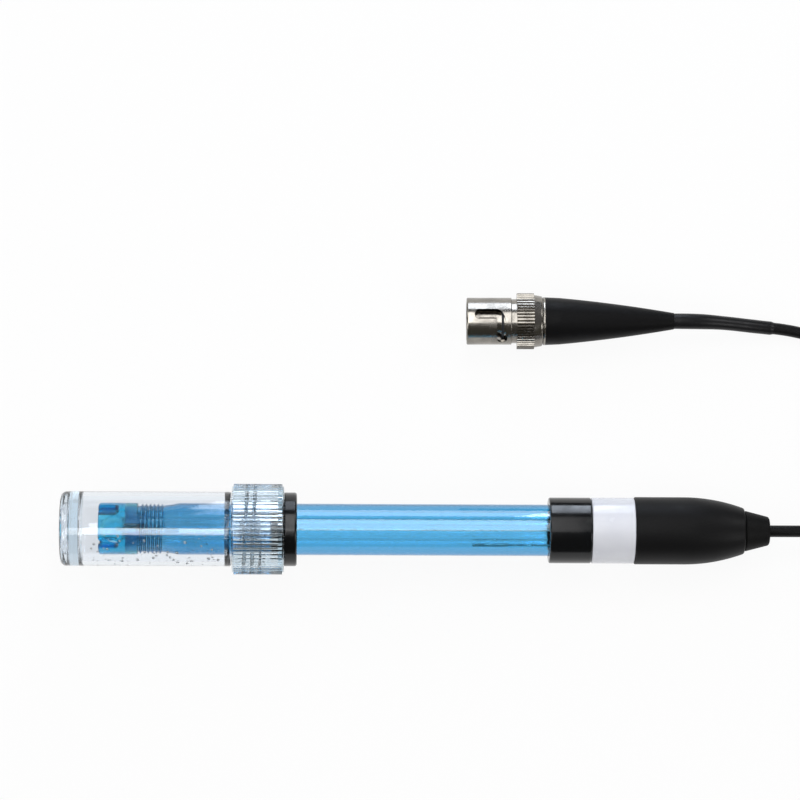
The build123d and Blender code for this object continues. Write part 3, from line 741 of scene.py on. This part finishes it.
@dataclass
class ShrinkTube:
    """Shrink tube over the lead behind the boot: it follows the lead, with soft waves and a rounded end."""

    diameter: float = 3.5 * MM
    end_x: float = 92.0 * MM
    rings: int = 90
    sides: int = 40
    wave_mm: float = 5.0
    wave_depth: float = 0.03
    boot_swell: float = 1.14                           # size next to the boot, as a share of the rest
    swell_range: tuple[float, float] = (0.15, 0.6)     # where along the tube it comes down to the rest
    end_size: float = 0.9                              # size at the free end, as a share of the rest
    end_range: tuple[float, float] = (0.975, 1.0)      # where along the tube it draws in to that

    def tree(self) -> bpy.types.NodeTree:
        """Builds the Geometry Nodes tree that turns a line of points into the tube.

        Returns:
            The tree.
        """
        tree = new_geometry_tree("shrink_tube", dict.fromkeys(
            ("Radius", "Waves", "Wave Depth", "Boot Swell"), "Float"))
        given = add_node(tree, "NodeGroupInput").outputs
        line = add_node(tree, "GeometryNodeMeshToCurve", {"Mesh": given["Geometry"]})
        fine = add_node(tree, "GeometryNodeResampleCurve", {"Curve": line.outputs[0], "Count": self.rings})
        place = add_node(tree, "GeometryNodeInputPosition").outputs[0]
        noise = add_node(tree, "ShaderNodeTexNoise", {
            "Vector": place, "Scale": given["Waves"], "Detail": 1.0,
        }).outputs["Fac"]
        centred = add_node(tree, "ShaderNodeMath", {0: noise, 1: 0.5}, operation="SUBTRACT").outputs[0]
        wave = add_node(tree, "ShaderNodeMath", {0: centred, 1: given["Wave Depth"], 2: 1.0},
                        operation="MULTIPLY_ADD").outputs[0]
        along = add_node(tree, "GeometryNodeSplineParameter").outputs["Factor"]
        end = add_node(tree, "ShaderNodeMapRange", {
            "Value": along, "From Min": self.end_range[0], "From Max": self.end_range[1],
            "To Min": 1.0, "To Max": self.end_size,
        }, interpolation_type="SMOOTHSTEP").outputs[0]
        swell = add_node(tree, "ShaderNodeMapRange", {
            "Value": along, "From Min": self.swell_range[0], "From Max": self.swell_range[1],
            "To Min": given["Boot Swell"], "To Max": 1.0,
        }, interpolation_type="SMOOTHSTEP").outputs[0]
        ends = add_node(tree, "ShaderNodeMath", {0: swell, 1: end}, operation="MULTIPLY").outputs[0]
        size = add_node(tree, "ShaderNodeMath", {0: wave, 1: ends}, operation="MULTIPLY").outputs[0]
        profile = add_node(tree, "GeometryNodeCurvePrimitiveCircle", {
            "Resolution": self.sides, "Radius": given["Radius"],
        }, mode="RADIUS").outputs[0]
        tube = add_node(tree, "GeometryNodeCurveToMesh", {
            "Curve": fine.outputs[0], "Profile Curve": profile, "Scale": size, "Fill Caps": True,
        })
        finish_tree(tree, tube.outputs[0], given["Material"])
        return tree

    def centreline(self, lead: Lead) -> bpy.types.Mesh:
        """Takes the lead's own line from the boot to the tube's end.

        Args:
            lead: the lead.

        Returns:
            A mesh of edges along it.
        """
        bare = lead.spline("lead_line", 0.0)
        places = [v.co.copy() for v in plain_mesh(bare).vertices]
        bpy.data.objects.remove(bare)
        kept = []
        for place in reversed(places):
            if place.x > self.end_x:
                break
            kept.append(place)
        mesh = bpy.data.meshes.new("shrink_line")
        mesh.from_pydata(kept, [(i, i + 1) for i in range(len(kept) - 1)], [])
        return mesh

    def build(self, lead: Lead, library: Library) -> bpy.types.Object:
        """Builds the tube over the lead.

        Args:
            lead: the lead that it covers.
            library: the materials.

        Returns:
            The tube's piece.
        """
        # The noise spans one about its middle, so twice the depth makes waves of that depth either way
        piece = grow("shrink_tube_skin", self.tree(), {
            "Radius": self.diameter / 2, "Waves": 1 / (self.wave_mm * MM), "Wave Depth": self.wave_depth * 2,
            "Boot Swell": self.boot_swell, "Material": library.get(SHRINK_POLYOLEFIN),
        }, self.centreline(lead))
        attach(piece, "probe")
        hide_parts("shrink_tube")
        LOG.info("built shrink tube with %d faces", len(piece.data.polygons))
        return piece


# The probe

@dataclass
class Stem:
    """The blue stem with its guard, glass, wires and seals."""

    thread_start: float = 19.9 * MM
    thread_length: float = 6.2 * MM
    thread_pitch: float = 1.0 * MM
    thread_root: float = 5.8 * MM
    thread_height: float = 0.5 * MM
    thread_foot: float = 0.75 * MM
    thread_crest: float = 0.2 * MM

    def build(self, library: Library) -> None:
        """Dresses the stem's nodes and adds the thread in front of its shoulder.

        Args:
            library: the materials and the thread's tree.
        """
        library.dress({
            "stem_tube": BLUE_STEM, "bulb_guard": BLUE_GUARD, "glass_stem": GLASS, "measuring_wire": SILVER,
            "reference_wire": SILVER, "junction_wick": WICK, "tip_seal": TIP_EPOXY, "top_seal": BLACK_RUBBER,
            "fill_sleeve": BLACK_RUBBER, "collar_ring": WHITE_ABS,
        })
        # The thread takes the deeper-tinted copy of the tube's resin, as painted shade on its flanks
        Thread("stem_thread", "probe", "blue_polycarbonate", BLUE_THREAD_PAINTED_SHADE, start=self.thread_start,
               length=self.thread_length, pitch=self.thread_pitch, root=self.thread_root,
               height=self.thread_height, foot=self.thread_foot, crest=self.thread_crest).build(library)


@dataclass
class StorageBottle:
    """The clear bottle with its ribbed cap, grommet, threads and condensation."""

    neck_radius: float = 8.2 * MM
    cap_bore: float = 9.35 * MM
    thread_pitch: float = 2.0 * MM
    thread_start: float = 44.6 * MM
    thread_length: float = 7.0 * MM
    thread_height: float = 0.8 * MM
    thread_foot: float = 0.9 * MM
    thread_crest: float = 0.35 * MM
    inner_radius: float = 8.3 * MM
    wall_sides: int = 64
    wet_start: float = 8.0 * MM
    wet_length: float = 32.0 * MM
    wet_side: Point = (0.2, -1.0, 0.0)
    wet_reach: float = 0.1         # the least cosine between the wall's direction and the wet side
    bead_smallest: float = 0.12 * MM
    bead_largest: float = 0.42 * MM
    bead_flatness: float = 0.7
    bead_density: float = 130000.0
    bead_seed: int = 7

    def bead_tree(self) -> bpy.types.NodeTree:
        """Builds the Geometry Nodes tree that scatters beads on the inside of a round wall about Z.

        Returns:
            The tree.
        """
        tree = new_geometry_tree("condensation", {
            "Radius": "Float", "Length": "Float", "Density": "Float", "Smallest": "Float", "Largest": "Float",
            "Seed": "Int", "Wet Side": "Vector",
        })
        given = add_node(tree, "NodeGroupInput").outputs
        wall = add_node(tree, "GeometryNodeMeshCylinder", {
            "Vertices": self.wall_sides, "Side Segments": 1, "Radius": given["Radius"],
            "Depth": given["Length"],
        }, fill_type="NONE")
        normal = add_node(tree, "GeometryNodeInputNormal").outputs[0]
        facing = add_node(tree, "ShaderNodeVectorMath", {0: normal, 1: given["Wet Side"]},
                          operation="DOT_PRODUCT").outputs["Value"]
        wet = add_node(tree, "ShaderNodeMath", {0: facing, 1: self.wet_reach}, operation="GREATER_THAN")
        points = add_node(tree, "GeometryNodeDistributePointsOnFaces", {
            "Mesh": wall.outputs["Mesh"], "Selection": wet.outputs[0], "Density": given["Density"],
            "Seed": given["Seed"],
        }).outputs
        size = add_node(tree, "FunctionNodeRandomValue", {
            2: given["Smallest"], 3: given["Largest"], "Seed": given["Seed"],
        }, data_type="FLOAT").outputs[1]
        thick = add_node(tree, "ShaderNodeMath", {0: size, 1: self.bead_flatness}, operation="MULTIPLY")
        flat = add_node(tree, "ShaderNodeCombineXYZ", {"X": size, "Y": size, "Z": thick.outputs[0]})
        bead = add_node(tree, "GeometryNodeMeshIcoSphere", {"Radius": 1.0, "Subdivisions": 2})
        beads = add_node(tree, "GeometryNodeInstanceOnPoints", {
            "Points": points["Points"], "Instance": bead.outputs["Mesh"], "Rotation": points["Rotation"],
            "Scale": flat.outputs[0],
        })
        finish_tree(tree, beads.outputs[0], given["Material"])
        return tree

    def build_condensation(self, library: Library) -> bpy.types.Object:
        """Builds the beads of water on the bottle's inside.

        Args:
            library: the materials.

        Returns:
            The beads' piece.
        """
        beads = grow("bottle_condensation", self.bead_tree(), {
            "Radius": self.inner_radius, "Length": self.wet_length, "Density": self.bead_density,
            "Smallest": self.bead_smallest, "Largest": self.bead_largest, "Seed": self.bead_seed,
            # The beads' white share is a painted glint
            "Wet Side": self.wet_side, "Material": library.get(WATER_PAINTED_GLINT),
        })
        beads.data.transform(PROBE_AXIS.place(self.wet_start + self.wet_length / 2))
        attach(beads, "bottle")
        LOG.info("built condensation with %d faces", len(beads.data.polygons))
        return beads

    def build(self, library: Library) -> None:
        """Dresses the bottle's nodes and adds its two threads and its beads of water.

        Args:
            library: the materials and the thread's tree.
        """
        library.dress({"storage_bottle": BOTTLE_CLEAR, "bottle_nut": NUT_CLEAR, "bottle_seal": BLACK_RUBBER})
        shape = {"pitch": self.thread_pitch, "height": self.thread_height, "foot": self.thread_foot,
                 "crest": self.thread_crest}
        Thread("bottle_neck_thread", "bottle", "clear_styrene", BOTTLE_CLEAR, start=self.thread_start,
               length=self.thread_length, root=self.neck_radius, **shape).build(library)
        # The cap's ridge runs half a pitch behind the neck's, in its groove
        Thread("cap_thread", "screw_cap", "clear_nut", NUT_CLEAR, root=self.cap_bore, side=ThreadSide.INSIDE,
               start=self.thread_start + self.thread_pitch / 2,
               length=self.thread_length - self.thread_pitch, **shape).build(library)
        self.build_condensation(library)


class Handle:
    """The moulded cap with its potting and strain relief."""

    def build(self, library: Library) -> None:
        """Dresses the handle's nodes."""
        library.dress({"handle_cap": BLACK_ABS, "potting_fill": POTTING, "strain_relief": RELIEF_RUBBER})


@dataclass
class Plug:
    """The bayonet plug with its boot."""

    finishes: dict[str, Finish] = field(default_factory=lambda: {
        "coupling_nut": NICKEL, "plug_body": NICKEL, "plug_insulator": INSULATOR, "centre_pin": GILT,
        "plug_gasket": SILICONE, "thrust_washer": NICKEL, "crimp_ferrule": NICKEL, "plug_boot": BOOT_VINYL,
    })
    spring_room: float = 0.02 * MM     # left between the flattened spring and the thrust washer
    merge_distance: float = 0.0001 * MM
    sharp_angle: float = 30.0

    def build_spring(self, library: Library) -> bpy.types.Object:
        """Copies the spring washer as a piece of its own, with its loose points merged.

        Args:
            library: the materials.

        Returns:
            The piece.
        """
        mesh = frame["nodes"]["spring_washer"].data.copy()
        merged = bmesh.new()
        merged.from_mesh(mesh)
        bmesh.ops.remove_doubles(merged, verts=merged.verts, dist=self.merge_distance)
        merged.to_mesh(mesh)
        merged.free()
        mesh.set_sharp_from_angle(angle=radians(self.sharp_angle))
        mesh.materials.clear()
        mesh.materials.append(library.get(SPRING_STEEL))
        piece = link_object("spring_washer_dished", mesh)
        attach(piece, "probe")
        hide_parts("spring_washer")
        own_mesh(piece)
        LOG.info("built spring washer with %d faces", len(piece.data.polygons))
        return piece

    def build(self, library: Library) -> None:
        """Dresses the plug's nodes."""
        library.dress(self.finishes)


# The studio

@dataclass
class Lamp:
    """A soft rectangular lamp that points at the object."""

    name: str
    place: Point
    target: Point
    width: float
    height: float
    brightness: float      # 1 looks white in a mirror
    colour: str = WHITE

    def build(self) -> bpy.types.Object:
        """Makes the lamp, with its width level.

        Returns:
            The lamp's object.
        """
        data = bpy.data.lights.new(self.name, "AREA")
        data.shape = "RECTANGLE"
        data.size, data.size_y = self.width, self.height
        data.energy = self.brightness * pi * self.width * self.height
        data.color = to_linear(self.colour)[:3]
        lamp = link_object(self.name, data)
        lamp.location = self.place
        way = Vector(self.target) - Vector(self.place)
        lamp.rotation_euler = way.to_track_quat("-Z", "Y").to_euler()
        LOG.info("hung %s", self.name)
        return lamp


@dataclass
class Studio:
    """Pale floor, plain soft light and the photograph's camera."""

    target: Point = (-3.9 * MM, 33.7 * MM, 8.0 * MM)
    elevation: float = 80.0
    distance: float = 1.0
    focal_mm: float = 176.8
    sensor_mm: float = 36.0
    clip: tuple[float, float] = (0.05, 20.0)
    floor_size: float = 6.0
    table_range: tuple[float, float] = (0.25, 0.7)     # how far out the floor's reflection darkens
    table_dark: float = 0.25                           # how bright it still is beyond that
    floor_glow: float = 0.92                           # share of the floor's white that needs no light
    room_up: Point = (0.0, 0.5, 0.866)                 # towards the room's bright side
    room_range: tuple[float, float] = (0.4, 0.8)
    room_colours: tuple[str, str] = ("#55534d", "#6e6e70")
    crossings: int = 28
    lamps: tuple[Lamp, ...] = (
        Lamp("bottle_card", (-0.072, -0.15, 0.5), (-0.06, 0.0, 0.0), 0.08, 0.19, 4.5),
        Lamp("tube_box", (0.021, 0.12, 0.5), (0.021, 0.03, 0.0), 0.122, 0.5, 4.0),
        Lamp("bottle_window", (-0.044, 0.6, 0.2), (-0.044, 0.0, 0.02), 0.036, 0.38, 3.6, "#e8f1ff"),
        Lamp("far_window", (0.026, 0.6, 0.2), (0.026, 0.0, 0.02), 0.104, 0.38, 4.5, "#e8f1ff"),
        Lamp("sleeve_card", (0.09, 0.6, 0.2), (0.05, 0.0, 0.02), 0.024, 0.38, 17.0, "#dfeaf8"),
        *(Lamp(f"corner_box_{i}", (x, y, 0.5), (0.0, 0.03, 0.0), 0.35, 0.35, 4.2)
          for i, (x, y) in enumerate(((-0.62, -0.35), (0.62, -0.35), (-0.62, 0.4), (0.62, 0.4)))),
    )

    def camera(self) -> bpy.types.Object:
        """Makes the camera at the photograph's angle.

        Returns:
            The camera's object.
        """
        data = bpy.data.cameras.new("camera")
        data.lens, data.sensor_width = self.focal_mm, self.sensor_mm
        data.clip_start, data.clip_end = self.clip
        camera = link_object("camera", data)
        rise = radians(self.elevation)
        back = Vector((0.0, -cos(rise), sin(rise)))
        camera.location = Vector(self.target) + back * self.distance
        camera.rotation_mode = "QUATERNION"
        camera.rotation_quaternion = (-back).to_track_quat("-Z", "Y")
        bpy.context.scene.camera = camera
        return camera

    def paper(self) -> bpy.types.Material:
        """Builds the floor's paper: white to the camera, and in reflections as bright as a table that ends.

        Returns:
            The material.
        """
        material = bpy.data.materials.new("white_paper")
        material.use_nodes = True
        tree = material.node_tree
        tree.nodes.clear()
        path = add_node(tree, "ShaderNodeLightPath").outputs
        bent = add_node(tree, "ShaderNodeMath", {
            0: path["Is Transmission Ray"], 1: path["Is Glossy Ray"],
        }, operation="MAXIMUM").outputs[0]
        seen = add_node(tree, "ShaderNodeMath", {0: path["Is Camera Ray"], 1: bent},
                        operation="MAXIMUM").outputs[0]
        place = add_node(tree, "ShaderNodeTexCoord").outputs["Object"]
        away = add_node(tree, "ShaderNodeVectorMath", {0: place}, operation="LENGTH").outputs["Value"]
        table = add_node(tree, "ShaderNodeMapRange", {
            "Value": away, "From Min": self.table_range[0], "From Max": self.table_range[1],
            "To Min": 1.0, "To Max": self.table_dark,
        }, interpolation_type="SMOOTHSTEP").outputs[0]
        level = add_node(tree, "ShaderNodeMath", {0: table, 1: path["Is Camera Ray"]}, operation="MAXIMUM")
        paper = add_node(tree, "ShaderNodeBsdfDiffuse", {"Color": to_linear("#f4f4f4")})
        glow = add_node(tree, "ShaderNodeEmission", {"Color": to_linear(WHITE), "Strength": level.outputs[0]})
        share = add_node(tree, "ShaderNodeMath", {0: seen, 1: self.floor_glow}, operation="MULTIPLY")
        both = add_node(tree, "ShaderNodeMixShader", {
            0: share.outputs[0], 1: paper.outputs[0], 2: glow.outputs[0],
        })
        add_node(tree, "ShaderNodeOutputMaterial", {"Surface": both.outputs[0]})
        return material

    def floor(self) -> bpy.types.Object:
        """Makes the floor, which keeps the object's soft shadow.

        Returns:
            The floor's object.
        """
        half = self.floor_size / 2
        mesh = bpy.data.meshes.new("floor")
        mesh.from_pydata([(-half, -half, 0), (half, -half, 0), (half, half, 0), (-half, half, 0)], [],
                         [(0, 1, 2, 3)])
        mesh.materials.append(self.paper())
        floor = link_object("floor", mesh)
        return floor

    def world(self) -> None:
        """Sets the room: white to the camera, otherwise brighter above and behind than low down in front."""
        world = bpy.data.worlds.new("studio")
        bpy.context.scene.world = world
        world.use_nodes = True
        tree = world.node_tree
        tree.nodes.clear()
        way = add_node(tree, "ShaderNodeTexCoord").outputs["Generated"]
        lean = add_node(tree, "ShaderNodeVectorMath", {0: way, 1: self.room_up}, operation="DOT_PRODUCT")
        room = add_node(tree, "ShaderNodeValToRGB", {"Fac": lean.outputs["Value"]})
        for stop, place, colour in zip(room.color_ramp.elements, self.room_range, self.room_colours):
            stop.position, stop.color = place, to_linear(colour)
        seen = add_node(tree, "ShaderNodeLightPath").outputs["Is Camera Ray"]
        white = add_node(tree, "ShaderNodeMix", {
            0: seen, 6: room.outputs[0], 7: to_linear(WHITE),
        }, data_type="RGBA")
        sky = add_node(tree, "ShaderNodeBackground", {"Color": white.outputs[2], "Strength": 1.0})
        add_node(tree, "ShaderNodeOutputWorld", {"Surface": sky.outputs[0]})

    def build(self) -> None:
        """Makes the camera, the floor, the room and the lamps."""
        self.camera()
        self.floor()
        self.world()
        for lamp in self.lamps:
            lamp.build()
        # A ray through the bottle, the stem and the glass crosses more walls than the usual limit allows
        bpy.context.scene.cycles.max_bounces = self.crossings
        bpy.context.scene.cycles.transmission_bounces = self.crossings
        bpy.context.scene.view_settings.view_transform = "Standard"


def main() -> None:
    """Builds and dresses the electrode."""
    logging.basicConfig(level=logging.INFO, format="%(name)s: %(message)s")
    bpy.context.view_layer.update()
    Studio().build()
    library = Library()
    lead = Lead()
    shrink = ShrinkTube().build(lead, library)
    plug = Plug()
    lead.build(library, [shrink, plug.build_spring(library), *plug.finishes])
    Stem().build(library)
    StorageBottle().build(library)
    Handle().build(library)
    plug.build(library)


if __name__ == "__main__":
    main()
